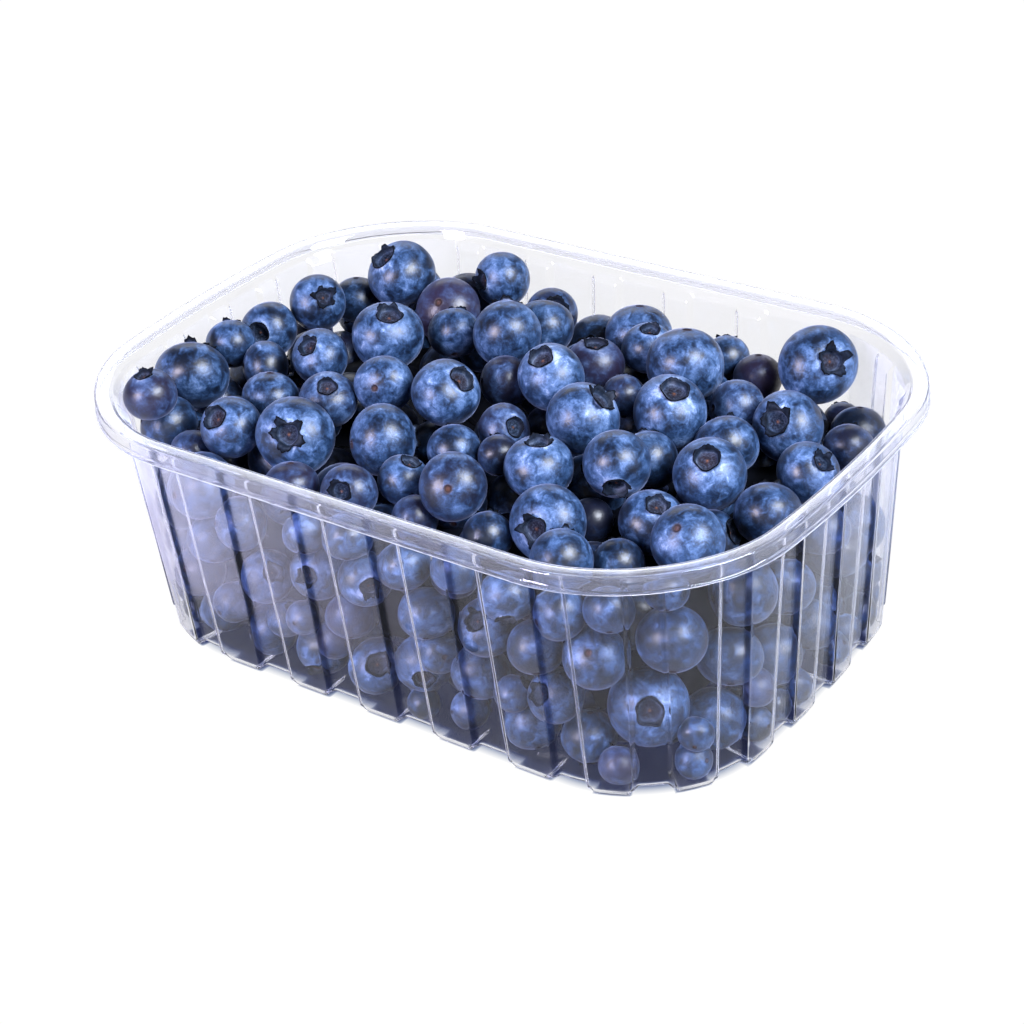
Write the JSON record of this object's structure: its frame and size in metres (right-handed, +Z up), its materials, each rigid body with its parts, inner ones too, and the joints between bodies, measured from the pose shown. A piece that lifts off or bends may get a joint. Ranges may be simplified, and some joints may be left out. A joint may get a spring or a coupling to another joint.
{
  "type": "punnet of blueberries",
  "caption": "Open clear-plastic punnet with fluted tapered walls, a flat rim with a turned-down skirt, heaped with blueberries.",
  "frame": {"origin": "bottom centre of the punnet, on the plane its feet stand on", "axes": "+X along the punnet's long side, +Y across it, +Z up through the open top"},
  "size_m": [0.1906, 0.1336, 0.0718],
  "materials": {
    "clear_plastic": "clear, glossy, thermoformed",
    "blueberry_skin": "dusty blue bloom over dark skin"
  },
  "bodies": {
    "root": {"punnet": "clear_plastic", "berry_heap": "blueberry_skin"}
  },
  "joints": []
}
